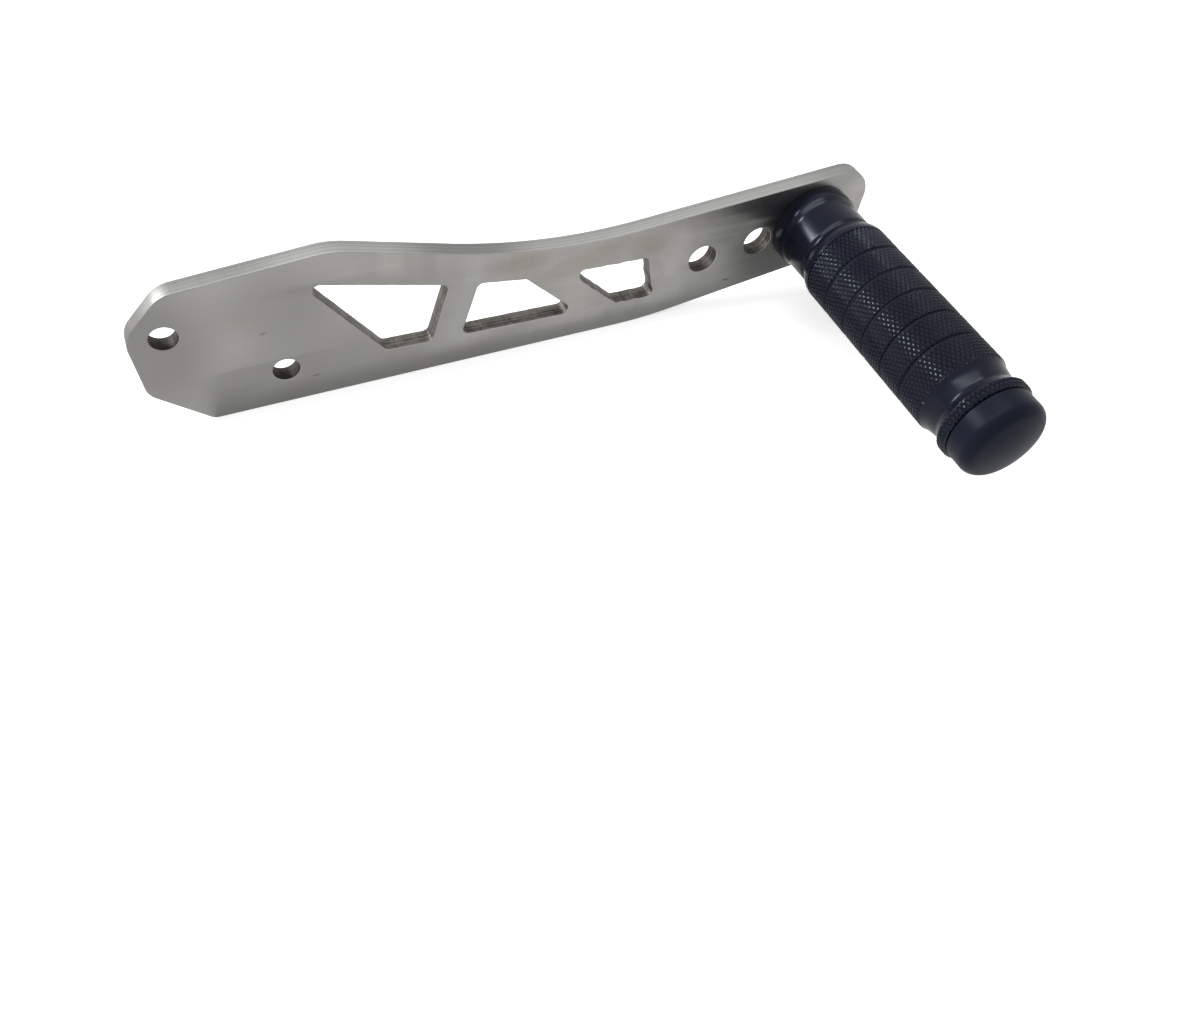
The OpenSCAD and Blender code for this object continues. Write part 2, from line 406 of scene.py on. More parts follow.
@dataclass(frozen=True)
class BrushedPlate:
    """Satin stainless plate: lengthwise brushing on the faces, cut lines on the edges.

    Attributes:
        metal: colour of the clean face.
        bright: colour of the brushing's paler bands and of the painted reflections.
        painted_shade: colour of the painted shade on the front face.
        line: colour of the darker lines of the brushing.
        stain: colour of the brownish stains.
        scratch: colour of the scratches.
        rubbed: colour of the rubbed edges, partly wear and partly a painted highlight on the rounded edges.
        edge: colour of the ground outer edge.
        groove: colour of the dark lines along that edge, and of the painted shade on it.
        inner: colour of the walls in the windows and holes, as cut.
        scorch: darkest colour of those walls.
        rough: roughness of the faces.
        grain_rough: how far it falls and rises in the lines of the brushing.
        smudge_rough: how much rougher a mark of handling is.
        edge_rough: roughness of the cut edges.
        layer_rough: how far it rises in the lines of the cut.
        burnt_rough: how much rougher a burnt wall is.
        brushed_mm: depth of the brushing.
        front_mm: Y between which the marks of the front face end.
        wander_mm: how far the lines along the outer edge wander.
        edge_lines: Y, half width and share of each dark line along that edge, in millimetres.
        band_share: how strongly the brushing's bands show.
        line_share: how strongly its darker lines show.
        smudge_share: how strongly the marks of handling show.
        layer_share: how strongly the finest lines along the outer edge show.
        scorch_share: how strongly the walls' burnt blotches show.
        hole_share: how much darker a small hole's wall is made all over.
        wear: how much the edges are rubbed, and so how strong the painted highlight on them is.
        stains: the brownish stains.
        painted_reflections: paler patches on the front face, painted reflections of bright surroundings.
        dark: painted shade on the front face: darker patches beside the peg, for its shade and painted
            reflection, and at the nose and other places.
        painted_edge_shade: painted shade on the outer edge, at the nose and along parts of the top.
        scratches: short dark scratches.
    """

    metal: Colour = (0.285, 0.282, 0.273)
    bright: Colour = (0.42, 0.415, 0.40)
    painted_shade: Colour = (0.13, 0.129, 0.127)
    line: Colour = (0.17, 0.168, 0.16)
    stain: Colour = (0.235, 0.218, 0.168)
    scratch: Colour = (0.07, 0.068, 0.064)
    rubbed: Colour = (0.42, 0.42, 0.41)
    edge: Colour = (0.345, 0.345, 0.335)
    groove: Colour = (0.13, 0.127, 0.12)
    inner: Colour = (0.155, 0.144, 0.130)
    scorch: Colour = (0.022, 0.019, 0.018)
    rough: float = 0.30
    grain_rough: Point2 = (-0.012, 0.02)
    smudge_rough: float = 0.05
    edge_rough: float = 0.44
    layer_rough: float = 0.14
    burnt_rough: float = 0.15
    brushed_mm: float = 0.012
    front_mm: Point2 = (-3.2, -2.8)
    wander_mm: float = 0.6
    edge_lines: tuple[tuple[float, float, float], ...] = (
        (-4.7, 0.35, 0.32),
        (-2.9, 0.3, 0.22),
        (-1.4, 0.4, 0.42),
    )
    band_share: float = 0.08
    line_share: float = 0.07
    smudge_share: float = 0.22
    layer_share: float = 0.16
    scorch_share: float = 0.8
    hole_share: float = 0.72
    wear: float = 0.3
    stains: tuple[Mark, ...] = (
        Mark((111.0, 1.0), (15.0, 8.0), 0.0, 0.55),
        Mark((159.0, -3.0), (11.0, 7.0), 0.0, 0.55),
        Mark((134.0, -4.0), (30.0, 6.0), 14.0, 0.4),
        Mark((128.0, -20.0), (34.0, 14.0), 0.0, 0.22),
        Mark((24.0, -0.5), (10.0, 4.0), 0.0, 0.3),
    )
    # painted reflections: paler patches on the front face
    painted_reflections: tuple[Mark, ...] = (
        Mark((142.0, -14.0), (66.0, 36.0), 0.0, 0.5),
        Mark((69.0, 12.0), (6.0, 13.0), 0.0, 0.35),
        Mark((95.0, 3.0), (5.0, 12.0), 0.0, 0.25),
        Mark((134.0, -17.0), (8.0, 12.0), 0.0, 0.25),
        Mark((171.0, -10.0), (9.0, 16.0), 0.0, 0.5),
        Mark((245.0, -4.0), (14.0, 18.0), 0.0, 0.85),
    )
    # painted shade: darker patches on the front face, beside the peg and at the nose
    dark: tuple[Mark, ...] = (
        Mark((-6.0, -4.0), (30.0, 38.0), 0.0, 0.7),
        Mark((32.0, 4.0), (28.0, 22.0), 0.0, 0.4),
        Mark((210.0, -20.0), (24.0, 18.0), 0.0, 0.85),
        Mark((192.0, -8.0), (14.0, 16.0), 0.0, 0.25),
        Mark((81.0, 8.0), (4.0, 12.0), 0.0, 0.16),
    )
    # painted shade on the outer edge
    painted_edge_shade: tuple[Mark, ...] = (
        Mark((-10.0, 2.0), (22.0, 24.0), 0.0, 1.0),
        Mark((14.0, 18.0), (30.0, 12.0), 0.0, 0.45),
        Mark((92.0, 8.0), (32.0, 12.0), 0.0, 0.6),
        Mark((235.0, 6.0), (22.0, 12.0), 0.0, 0.35),
    )
    scratches: tuple[Mark, ...] = (
        Mark((27.8, -5.7), (1.6, 0.45), 8.0, 0.6),
        Mark((41.3, -27.5), (1.9, 0.4), 4.0, 0.7),
        Mark((193.2, -26.5), (2.2, 0.5), -8.0, 0.8),
        Mark((60.5, -13.5), (1.2, 0.3), 30.0, 0.5),
    )

    def marked(self, wiring: Wiring, place: object, colour: object, marks: Sequence[Mark],
               other: Colour, breaks: object) -> bpy.types.NodeSocket:
        """Puts marks on a surface of the plate.

        Args:
            wiring: the material's wiring.
            place: the place on the object.
            colour: the colour under the marks.
            marks: where they lie.
            other: their colour.
            breaks: a value of 0 to 1 that breaks them up.

        Returns:
            The colour with the marks.
        """
        for mark in marks:
            spot = wiring.spot(place, mark.at, mark.reach, mark.lean_deg)
            share = wiring.calc("MULTIPLY", wiring.calc("MULTIPLY", spot, mark.share), breaks)
            colour = wiring.mix(share, colour, other)
        return colour

    def faces(self, wiring: Wiring, place: object, grain: Sockets, marks: Sockets) -> bpy.types.NodeSocket:
        """Colours the front and the back, with the marks on the front only.

        Args:
            wiring: the material's wiring.
            place: the place on the object.
            grain: the lines and bands of the brushing.
            marks: the marks of handling.

        Returns:
            The colour of the faces.
        """
        depth = wiring.add("ShaderNodeSeparateXYZ", {0: place}).outputs[1]
        near = wiring.span(depth, self.front_mm[0] * MM, self.front_mm[1] * MM, 1.0, 0.0)
        soft = wiring.span(wiring.noise(place, 150.0, 3.0, 0.6), 0.3, 0.6, 0.45, 1.0)
        soft = wiring.calc("MULTIPLY", soft, near)
        bands = wiring.span(grain["Bands"], 0.0, 1.0, 0.0, self.band_share)
        lines = wiring.span(grain["Lines"], 0.38, 0.66, 0.0, self.line_share)
        smudges = wiring.calc("MULTIPLY", marks["Mask"], self.smudge_share)
        face = wiring.mix(bands, self.metal, self.bright)
        # painted reflections in the paler patches
        face = self.marked(wiring, place, face, self.painted_reflections, self.bright, soft)
        # painted shade in the darker patches, among them the peg's shade and painted reflection beside it
        face = self.marked(wiring, place, face, self.dark, self.painted_shade, near)
        face = wiring.mix(smudges, face, self.stain)
        face = self.marked(wiring, place, face, self.stains, self.stain, soft)
        face = wiring.mix(lines, face, self.line)
        return self.marked(wiring, place, face, self.scratches, self.scratch, near)

    def edges(self, wiring: Wiring, place: object, layers: object, striae: object) -> bpy.types.NodeSocket:
        """Colours the cut edges: dark lines and painted shade along the outer one, burnt blotches on the
        walls within.

        Args:
            wiring: the material's wiring.
            place: the place on the object.
            layers: noise in lines along the edges.
            striae: noise in lines across the edges, as the cutting beam leaves them.

        Returns:
            The colour of the cut edges.
        """
        depth = wiring.add("ShaderNodeSeparateXYZ", {0: place}).outputs[1]
        wander = wiring.noise(wiring.stretch(place, (35, 0, 35)), 1.0, 2.0, 0.5)
        depth = wiring.calc("MULTIPLY_ADD", wiring.calc("SUBTRACT", wander, 0.5), self.wander_mm * MM, depth)
        fine = wiring.span(layers, 0.35, 0.65, 0.0, self.layer_share)
        side = wiring.mix(fine, self.edge, self.groove)
        for line, half, share in self.edge_lines:
            near = wiring.calc("ABSOLUTE", wiring.calc("SUBTRACT", depth, line * MM))
            side = wiring.mix(wiring.span(near, 0.0, half * MM, share, 0.0), side, self.groove)
        # painted shade on the outer edge, at the nose and along parts of the top
        side = self.marked(wiring, place, side, self.painted_edge_shade, self.groove, 1.0)
        blotch = wiring.noise(place, 260.0, 3.0, 0.6)
        burnt = wiring.calc("MULTIPLY_ADD", striae, 0.2, wiring.calc("MULTIPLY", layers, 0.4))
        burnt = wiring.calc("MULTIPLY_ADD", blotch, 0.4, burnt)
        burnt = wiring.span(burnt, 0.38, 0.64, 0.0, self.scorch_share)
        within = wiring.mix(burnt, self.inner, self.scorch)
        # a hole's wall is darkened all over, the most in a small hole
        holes = wiring.span(wiring.layer(Layer.INNER), 0.5, 1.0, 0.0, self.hole_share, "LINEAR")
        within = wiring.mix(holes, within, self.scorch)
        return wiring.mix(wiring.span(wiring.layer(Layer.INNER), 0.0, 0.5, kind="LINEAR"), side, within)

    def material(self) -> bpy.types.Material:
        """Builds the finish.

        Returns:
            The material.
        """
        made, wiring, shader = blank_material("satin_plate")
        place = wiring.place()
        grain = GRAIN.use(wiring, Fineness=1.0)
        marks = SMUDGE.use(wiring, Scale=1.0)
        normal = wiring.add("ShaderNodeNewGeometry").outputs["Normal"]
        facing = wiring.add("ShaderNodeSeparateXYZ", {0: normal})
        wall = wiring.span(wiring.calc("ABSOLUTE", facing.outputs[1]), 0.35, 0.75, 1.0, 0.0)
        layers = wiring.noise(wiring.stretch(place, (6, 1300, 6)), 1.0, 2.0, 0.55)
        striae = wiring.noise(wiring.stretch(place, (1100, 60, 1100)), 1.0, 2.0, 0.6)
        cut = wiring.calc("MULTIPLY_ADD", layers, 0.65, wiring.calc("MULTIPLY", striae, 0.35))
        face = self.faces(wiring, place, grain, marks)
        colour = wiring.mix(wall, face, self.edges(wiring, place, layers, striae))
        # rubbed edges: partly wear, partly a painted highlight along the rounded edges
        worn = WEAR.use(wiring, Rim=wiring.layer(Layer.RIM), Scale=1.0, Amount=self.wear)
        colour = wiring.mix(worn["Mask"], colour, self.rubbed)
        least, most = (self.rough + change for change in self.grain_rough)
        rough = wiring.span(grain["Lines"], 0.3, 0.7, least, most)
        rough = wiring.calc("MULTIPLY_ADD", marks["Mask"], self.smudge_rough, rough)
        edge_rough = wiring.span(cut, 0.3, 0.7, self.edge_rough, self.edge_rough + self.layer_rough)
        burnt = wiring.layer(Layer.INNER)
        edge_rough = wiring.calc("MULTIPLY_ADD", burnt, self.burnt_rough, edge_rough)
        height = wiring.blend(wall, grain["Lines"], layers)
        wiring.give(shader.inputs["Base Color"], colour)
        wiring.give(shader.inputs["Roughness"], wiring.blend(wall, rough, edge_rough))
        wiring.give(shader.inputs["Normal"], wiring.bump(height, self.brushed_mm))
        shader.inputs["Metallic"].default_value = 1.0
        return made


@dataclass(frozen=True)
class BlackAnodised:
    """Bluish black anodised metal.

    Attributes:
        name: name of the material.
        dye: colour of the layer.
        film: colour of the marks of handling.
        dust: colour of the specks of dust.
        bare: colour of the rubbed crests.
        tint: tint of what the surface mirrors.
        sheen: how strongly the surface mirrors.
        rough: roughness of the smooth surface.
        crest_rough: roughness of the knurl's crests.
        groove_rough: how much rougher the bottom of a groove is.
        film_rough: how much rougher a mark of handling is, and again the film in it.
        film_share: how strongly the marks of handling show.
        dust_share: how strongly the dust shows.
        wear: how much the crests are rubbed.
        turned_mm: depth of the turning marks.
    """

    name: str
    dye: Colour = (0.0020, 0.0030, 0.0090)
    film: Colour = (0.0050, 0.0042, 0.0080)
    dust: Colour = (0.04, 0.04, 0.04)
    bare: Colour = (0.014, 0.016, 0.024)
    tint: Colour = (0.78, 0.87, 1.0)
    sheen: float = 0.2
    rough: float = 0.20
    crest_rough: float = 0.15
    groove_rough: float = 0.4
    film_rough: float = 0.06
    film_share: float = 0.5
    dust_share: float = 0.35
    wear: float = 0.5
    turned_mm: float = 0.004

    def material(self) -> bpy.types.Material:
        """Builds the finish.

        Returns:
            The material.
        """
        made, wiring, shader = blank_material(self.name)
        place = wiring.place()
        marks = SMUDGE.use(wiring, Scale=1.6)
        worn = WEAR.use(wiring, Rim=wiring.layer(Layer.CREST), Scale=2.0, Amount=self.wear)
        specks = wiring.span(wiring.noise(place, 2600.0, 2.0, 0.7), 0.66, 0.78, 0.0, self.dust_share)
        lathe = wiring.noise(wiring.stretch(place, (60, 5200, 60)), 1.0, 2.0, 0.5)
        handled = wiring.calc("MULTIPLY", marks["Mask"], self.film_share)
        colour = wiring.mix(handled, self.dye, self.film)
        colour = wiring.mix(worn["Mask"], colour, self.bare)
        colour = wiring.mix(wiring.calc("MULTIPLY", specks, marks["Film"]), colour, self.dust)
        crest = wiring.layer(Layer.CREST)
        rough = wiring.span(crest, 0.0, 0.8, self.rough, self.crest_rough)
        rough = wiring.calc("MULTIPLY_ADD", marks["Mask"], self.film_rough, rough)
        rough = wiring.calc("ADD", rough, wiring.span(crest, GROOVE, 0.0, self.groove_rough, 0.0))
        rough = wiring.calc("MULTIPLY_ADD", marks["Film"], self.film_rough, rough)
        wiring.give(shader.inputs["Base Color"], colour)
        wiring.give(shader.inputs["Roughness"], rough)
        wiring.give(shader.inputs["Normal"], wiring.bump(lathe, self.turned_mm))
        shader.inputs["Specular IOR Level"].default_value = self.sheen
        wiring.give(shader.inputs["Specular Tint"], self.tint)
        return made


@dataclass(frozen=True)
class PlainSteel:
    """Turned stainless fastener.

    Attributes:
        name: name of the material.
        metal: colour of the steel.
        film: colour of the marks of handling.
        rough: roughness of the surface.
        film_rough: how much rougher it is under a film.
        film_share: how strongly the marks of handling show.
        turned_mm: depth of the turning marks.
    """

    name: str
    metal: Colour = (0.45, 0.45, 0.44)
    film: Colour = (0.30, 0.29, 0.27)
    rough: float = 0.28
    film_rough: float = 0.15
    film_share: float = 0.4
    turned_mm: float = 0.004

    def material(self) -> bpy.types.Material:
        """Builds the finish.

        Returns:
            The material.
        """
        made, wiring, shader = blank_material(self.name)
        marks = SMUDGE.use(wiring, Scale=3.0)
        place = wiring.place()
        lathe = wiring.noise(wiring.stretch(place, (300, 300, 300)), 4.0, 3.0, 0.6)
        handled = wiring.calc("MULTIPLY", marks["Mask"], self.film_share)
        colour = wiring.mix(handled, self.metal, self.film)
        rough = wiring.calc("MULTIPLY_ADD", marks["Film"], self.film_rough, self.rough)
        wiring.give(shader.inputs["Base Color"], colour)
        wiring.give(shader.inputs["Roughness"], rough)
        wiring.give(shader.inputs["Normal"], wiring.bump(lathe, self.turned_mm))
        shader.inputs["Metallic"].default_value = 1.0
        return made


def blank_material(name: str) -> tuple[bpy.types.Material, Wiring, bpy.types.Node]:
    """Makes a material with one Principled shader.

    Args:
        name: name of the material.

    Returns:
        The material, its wiring and the shader's node.
    """
    made = bpy.data.materials.new(name)
    made.use_nodes = True
    wiring = Wiring(made.node_tree)
    shader = wiring.add("ShaderNodeBsdfPrincipled")
    wiring.add("ShaderNodeOutputMaterial", {"Surface": shader.outputs[0]})
    return made, wiring, shader


# meshes


def finish_piece(bm: bmesh.types.BMesh, name: str, node: Node,
                 material: bpy.types.Material, sharp_deg: float = 28.0) -> bpy.types.Object:
    """Turns a mesh into a piece that stands for a node.

    Args:
        bm: the mesh, which is freed.
        name: name of the piece.
        node: the node that the piece stands for.
        material: its material.
        sharp_deg: angle from which an edge between smooth faces is sharp.

    Returns:
        The new object.
    """
    mesh = bpy.data.meshes.new(name)
    bm.to_mesh(mesh)
    bm.free()
    mesh.materials.append(material)
    mesh.set_sharp_from_angle(angle=math.radians(sharp_deg))
    piece = bpy.data.objects.new(name, mesh)
    bpy.context.scene.collection.objects.link(piece)
    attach(piece, BODY)
    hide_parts(node.value)
    LOG.info("%s: %d faces, stands for %s", name, len(mesh.polygons), node.value)
    return piece


def zip_rings(bm: bmesh.types.BMesh, lower: Sequence[bmesh.types.BMVert], lower_at: Sequence[float],
              upper: Sequence[bmesh.types.BMVert], upper_at: Sequence[float]) -> None:
    """Joins two closed rings of points with triangles, the next point round being taken each time.

    Args:
        bm: the mesh.
        lower: points of the first ring, in rising angle.
        lower_at: their angles, from 0 to a full turn.
        upper: points of the second ring, in rising angle.
        upper_at: their angles.
    """
    count, other = len(lower), len(upper)
    turn = 2 * math.pi
    i = j = 0
    while i < count or j < other:
        next_low = lower_at[(i + 1) % count] + turn * ((i + 1) // count)
        next_up = upper_at[(j + 1) % other] + turn * ((j + 1) // other)
        first, second = lower[i % count], upper[j % other]
        if j >= other or (i < count and next_low <= next_up):
            corners = (first, lower[(i + 1) % count], second)
            i += 1
        else:
            corners = (first, upper[(j + 1) % other], second)
            j += 1
        bm.faces.new(corners).smooth = True


@dataclass
class Lathe:
    """Turned skin round the peg's axis, grown ring by ring along -Y.

    Attributes:
        axis: a point of the axis, on the plate's front face.
        steps: points of a plain ring.
        bm: the mesh that grows.
        last: points of the last ring.
        last_at: their angles.
    """

    axis: Vector
    steps: int = 288
    bm: bmesh.types.BMesh = field(default_factory=bmesh.new)
    last: list[bmesh.types.BMVert] = field(default_factory=list)
    last_at: list[float] = field(default_factory=list)

    def at(self, radius: float, angle: float, away: float) -> Vector:
        """Returns the place at a radius and angle round the axis, that far from the plate, in metres."""
        return self.axis + Vector((radius * math.cos(angle), -away, radius * math.sin(angle)))

    def ring(self, radius_mm: float, away_mm: float) -> None:
        """Adds a plain ring and joins it to the last one.

        Args:
            radius_mm: its radius.
            away_mm: its distance from the plate.
        """
        turns = [2 * math.pi * k / self.steps for k in range(self.steps)]
        verts = [self.bm.verts.new(self.at(radius_mm * MM, a, away_mm * MM)) for a in turns]
        self.join(verts, turns)

    def join(self, verts: list[bmesh.types.BMVert], turns: list[float]) -> None:
        """Joins a ring of points to the last one and makes it the last.

        Args:
            verts: its points, in rising angle.
            turns: their angles.
        """
        if self.last:
            if len(verts) == len(self.last) == self.steps:
                for k in range(self.steps):
                    n = (k + 1) % self.steps
                    self.bm.faces.new((self.last[k], self.last[n], verts[n], verts[k])).smooth = True
            else:
                zip_rings(self.bm, self.last, self.last_at, verts, turns)
        self.last, self.last_at = verts, turns

    def close(self, away_mm: float) -> None:
        """Closes the last ring with a fan to the axis.

        Args:
            away_mm: distance of the fan's middle from the plate.
        """
        centre = self.bm.verts.new(self.at(0.0, 0.0, away_mm * MM))
        count = len(self.last)
        for k in range(count):
            self.bm.faces.new((self.last[k], self.last[(k + 1) % count], centre)).smooth = True


@dataclass(frozen=True)
class Knurl:
    """Diamond knurl, cut by two families of crossing grooves.

    Attributes:
        radius: radius over the crests, in millimetres.
        starts: number of diamonds round the peg.
        length: length of a diamond along the axis, in millimetres.
        depth: depth of the grooves, in millimetres.
        land: share of a diamond, from its side, at which the rounding of its crest starts.
        land_height: height of that place, where the crest is 1.
        crown: share at which the flat crest starts.
    """

    radius: float = 16.0
    starts: int = 60
    length: float = 2.9
    depth: float = 0.38
    land: float = 0.30
    land_height: float = 0.86
    crown: float = 0.36

    def diamond(self, flat: bmesh.types.BMesh, high: bmesh.types.BMLayerItem, i: int, j: int) -> None:
        """Adds one diamond to a flat band, from the grooves round it to its flat crest.

        Args:
            flat: the band, with turn, distance and height as its coordinates.
            high: its layer of heights.
            i: the diamond's place among the grooves that lean one way.
            j: its place among those that lean the other way.
        """
        rings = []
        for inset, height in ((0.0, 0.0), (self.land, self.land_height), (self.crown, 1.0)):
            far = 1 - inset
            ring = []
            for a, b in ((inset, inset), (far, inset), (far, far), (inset, far)):
                turn = (i + a + j + b) / 2
                away = (j + b - i - a) * self.length / 2
                vert = flat.verts.new((turn, away, height))
                vert[high] = height or KNURL_FLANK
                ring.append(vert)
            rings.append(ring)
        for low, up in zip(rings, rings[1:]):
            for k in range(4):
                n = (k + 1) % 4
                flat.faces.new((low[k], low[n], up[n], up[k]))
        flat.faces.new(rings[-1])

    def band(self, lathe: Lathe, start: float, end: float, crest: bmesh.types.BMLayerItem) -> None:
        """Adds a knurled band and joins it to the lathe's last ring.

        Args:
            lathe: the skin that the band belongs to.
            start: distance of its inner end from the plate, in millimetres.
            end: distance of its outer end from the plate, in millimetres.
            crest: the layer that holds how close a point is to the crest.
        """
        flat = bmesh.new()
        high = flat.verts.layers.float.new(Layer.CREST.value)
        first = math.floor(2 * start / self.length) - 2
        last = math.ceil(2 * end / self.length) + 2
        for across in range(2 * self.starts):
            for along in range(first, last + 1):
                if (across + along) % 2 == 0:
                    self.diamond(flat, high, (across - along) // 2, (across + along) // 2)
        bmesh.ops.remove_doubles(flat, verts=flat.verts, dist=WELD)
        for edge, side in ((start, -1.0), (end, 1.0)):
            parts = [*flat.verts, *flat.edges, *flat.faces]
            bmesh.ops.bisect_plane(flat, geom=parts, dist=CUT, plane_co=(0, edge, 0),
                                   plane_no=(0, side, 0), clear_outer=True)
        self.wrap(lathe, flat, high, start, end, crest)
        flat.free()

    def wrap(self, lathe: Lathe, flat: bmesh.types.BMesh, high: bmesh.types.BMLayerItem,
             start: float, end: float, crest: bmesh.types.BMLayerItem) -> None:
        """Winds the flat band round the axis, and joins both its ends.

        Args:
            lathe: the skin that the band belongs to.
            flat: the band, with turn, distance and height as its coordinates.
            high: its layer of heights.
            start: distance of its inner end, in millimetres.
            end: distance of its outer end, in millimetres.
            crest: the lathe's layer of heights.
        """
        step = 2 * math.pi / self.starts
        twin: dict[tuple[int, int], bmesh.types.BMVert] = {}
        wound: dict[bmesh.types.BMVert, bmesh.types.BMVert] = {}
        angles: dict[bmesh.types.BMVert, float] = {}
        for vert in flat.verts:
            turn = vert.co.x % self.starts
            if self.starts - turn < SAME:
                turn = 0.0
            key = (round(turn * KEY_STEPS), round(vert.co.y * KEY_STEPS))
            if key not in twin:
                radius = (self.radius - self.depth * (1 - vert.co.z)) * MM
                made = lathe.bm.verts.new(lathe.at(radius, turn * step, vert.co.y * MM))
                made[crest] = vert[high]
                twin[key] = made
                angles[made] = turn * step
            wound[vert] = twin[key]
        for face in flat.faces:
            corners = [wound[v] for v in face.verts]
            if len(set(corners)) == len(corners):
                lathe.bm.faces.new(corners).smooth = False
        for edge in (start, end):
            ends = {wound[v] for v in flat.verts if abs(v.co.y - edge) < SAME}
            ring = sorted(ends, key=angles.__getitem__)
            if edge == start:
                lathe.join(ring, [angles[v] for v in ring])
            else:
                lathe.last, lathe.last_at = ring, [angles[v] for v in ring]


@dataclass
class Peg:
    """Turned peg body with its knurled bands, waist and collar.

    Sizes are in millimetres, and distances are from the plate.

    Attributes:
        finish: its finish.
        knurl: the knurl of its bands and collar.
        centre: a point of its axis, on the plate's front face.
        length: its length without the cap.
        root_r: radius of the root.
        root_len: distance at which the root starts to fall to the neck.
        neck_r: radius of the neck where it starts.
        neck_start: distance at which the neck starts.
        neck_taper: how much the radius shrinks along the neck.
        valley_start: distance at which the neck falls to the valley.
        valley_r: radius of the valley before the knurl.
        knurl_start: distance at which the knurl starts.
        shoulder_r: radius of the round shoulder from the valley to the knurl.
        bands: number of knurled bands.
        ring_w: width of a ring groove between two bands.
        ring_depth: depth of a ring groove.
        flank: width of each of its sloping sides.
        waist_len: length of the waist.
        waist_lines: radius, distance from the waist's start and slope of each straight line of the
            waist's profile.
        waist_blend: how softly those lines run into each other.
        collar_len: length of the knurled collar.
        edge: size of the bevels.
        first_gap: plain stretch before the first band.
        bevel_from: turn of the bevel's first step at the plate, in radians.
        bevel_steps: points of that bevel.
        fall_steps: points of each of the root's falls.
        shoulder_steps: points of the shoulder.
        waist_steps: points of the waist.
        bore_r: radius of the hole for the screw.
        bore_len: depth of that hole.
        socket_r: radius of the hole for the cap's stem.
        socket_len: depth of that hole.
    """

    finish: BlackAnodised
    knurl: Knurl = field(default_factory=Knurl)
    centre: tuple[float, float, float] = (225.2, -6.0, -8.5)
    length: float = 106.0
    root_r: float = 15.5
    root_len: float = 4.2
    neck_r: float = 14.65
    neck_start: float = 8.3
    neck_taper: float = 0.2
    valley_start: float = 17.4
    valley_r: float = 14.0
    knurl_start: float = 25.2
    shoulder_r: float = 9.0
    bands: int = 6
    ring_w: float = 1.4
    ring_depth: float = 0.7
    flank: float = 0.3
    waist_len: float = 9.2
    waist_lines: tuple[tuple[float, float, float], ...] = (
        (15.6, 0.0, -0.5),
        (15.05, 1.1, -0.15),
        (15.6, 9.2, 0.62),
    )
    waist_blend: float = 0.25
    collar_len: float = 3.8
    edge: float = 0.4
    first_gap: float = 0.05
    bevel_from: float = 0.3
    bevel_steps: int = 5
    fall_steps: int = 16
    shoulder_steps: int = 24
    waist_steps: int = 41
    bore_r: float = 5.05
    bore_len: float = 22.0
    socket_r: float = 6.05
    socket_len: float = 18.0

    def lathe(self) -> Lathe:
        """Returns a lathe on the peg's axis."""
        return Lathe(Vector(self.centre) * MM)

    def root(self) -> list[Point2]:
        """Works out the smooth profile from the plate to the knurl.

        Returns:
            The radius and distance of each of its points.
        """
        middle = self.knurl.radius - self.shoulder_r
        turn = math.acos((self.valley_r - middle) / self.shoulder_r)
        valley_end = self.knurl_start - self.shoulder_r * math.sin(turn)
        falls = ((self.root_r, self.neck_r, self.root_len, self.neck_start),
                 (self.neck_r - self.neck_taper, self.valley_r, self.valley_start, valley_end))
        bevel_r = self.root_r - self.edge
        profile = [(bevel_r, 0.0)]
        profile += [(bevel_r + self.edge * math.sin(a), self.edge - self.edge * math.cos(a))
                    for a in np.linspace(self.bevel_from, math.pi / 2, self.bevel_steps)]
        for high, low, start, end in falls:
            profile += [(high - (high - low) * (1 - math.cos(math.pi * s)) / 2, start + (end - start) * s)
                        for s in np.linspace(0, 1, self.fall_steps)]
        shoulder = self.shoulder_r
        profile += [(middle + shoulder * math.cos(a), self.knurl_start + shoulder * math.sin(a))
                    for a in np.linspace(-turn, 0, self.shoulder_steps)[1:]]
        return profile

    def waist(self, start: float, end: float) -> list[Point2]:
        """Works out the profile of the waist.

        Args:
            start: distance of its inner end.
            end: distance of its outer end.

        Returns:
            The radius and distance of each of its points.
        """
        places = np.linspace(start, end, self.waist_steps)
        lines = np.array([radius + slope * (places - start - away)
                          for radius, away, slope in self.waist_lines])
        radii = self.waist_blend * np.logaddexp.reduce(lines / self.waist_blend, axis=0)
        return list(zip(radii.tolist(), places.tolist()))

    def grip(self, lathe: Lathe, knurl_end: float, crest: bmesh.types.BMLayerItem) -> None:
        """Adds the knurled bands and the ring grooves between them.

        Args:
            lathe: the skin that grows.
            knurl_end: distance of the last band's outer end.
            crest: the layer that holds how close a point is to the crest.
        """
        pitch = (knurl_end - self.knurl_start) / self.bands
        floor = self.knurl.radius - self.ring_depth
        half = self.ring_w / 2
        for k in range(self.bands):
            low = self.knurl_start + k * pitch
            start = low + (half if k else self.first_gap)
            end = low + pitch - (half if k < self.bands - 1 else self.edge)
            self.knurl.band(lathe, start, end, crest)
            if k < self.bands - 1:
                for away in (end + self.flank, end + self.ring_w - self.flank):
                    lathe.ring(floor, away)
                    for vert in lathe.last:
                        vert[crest] = GROOVE

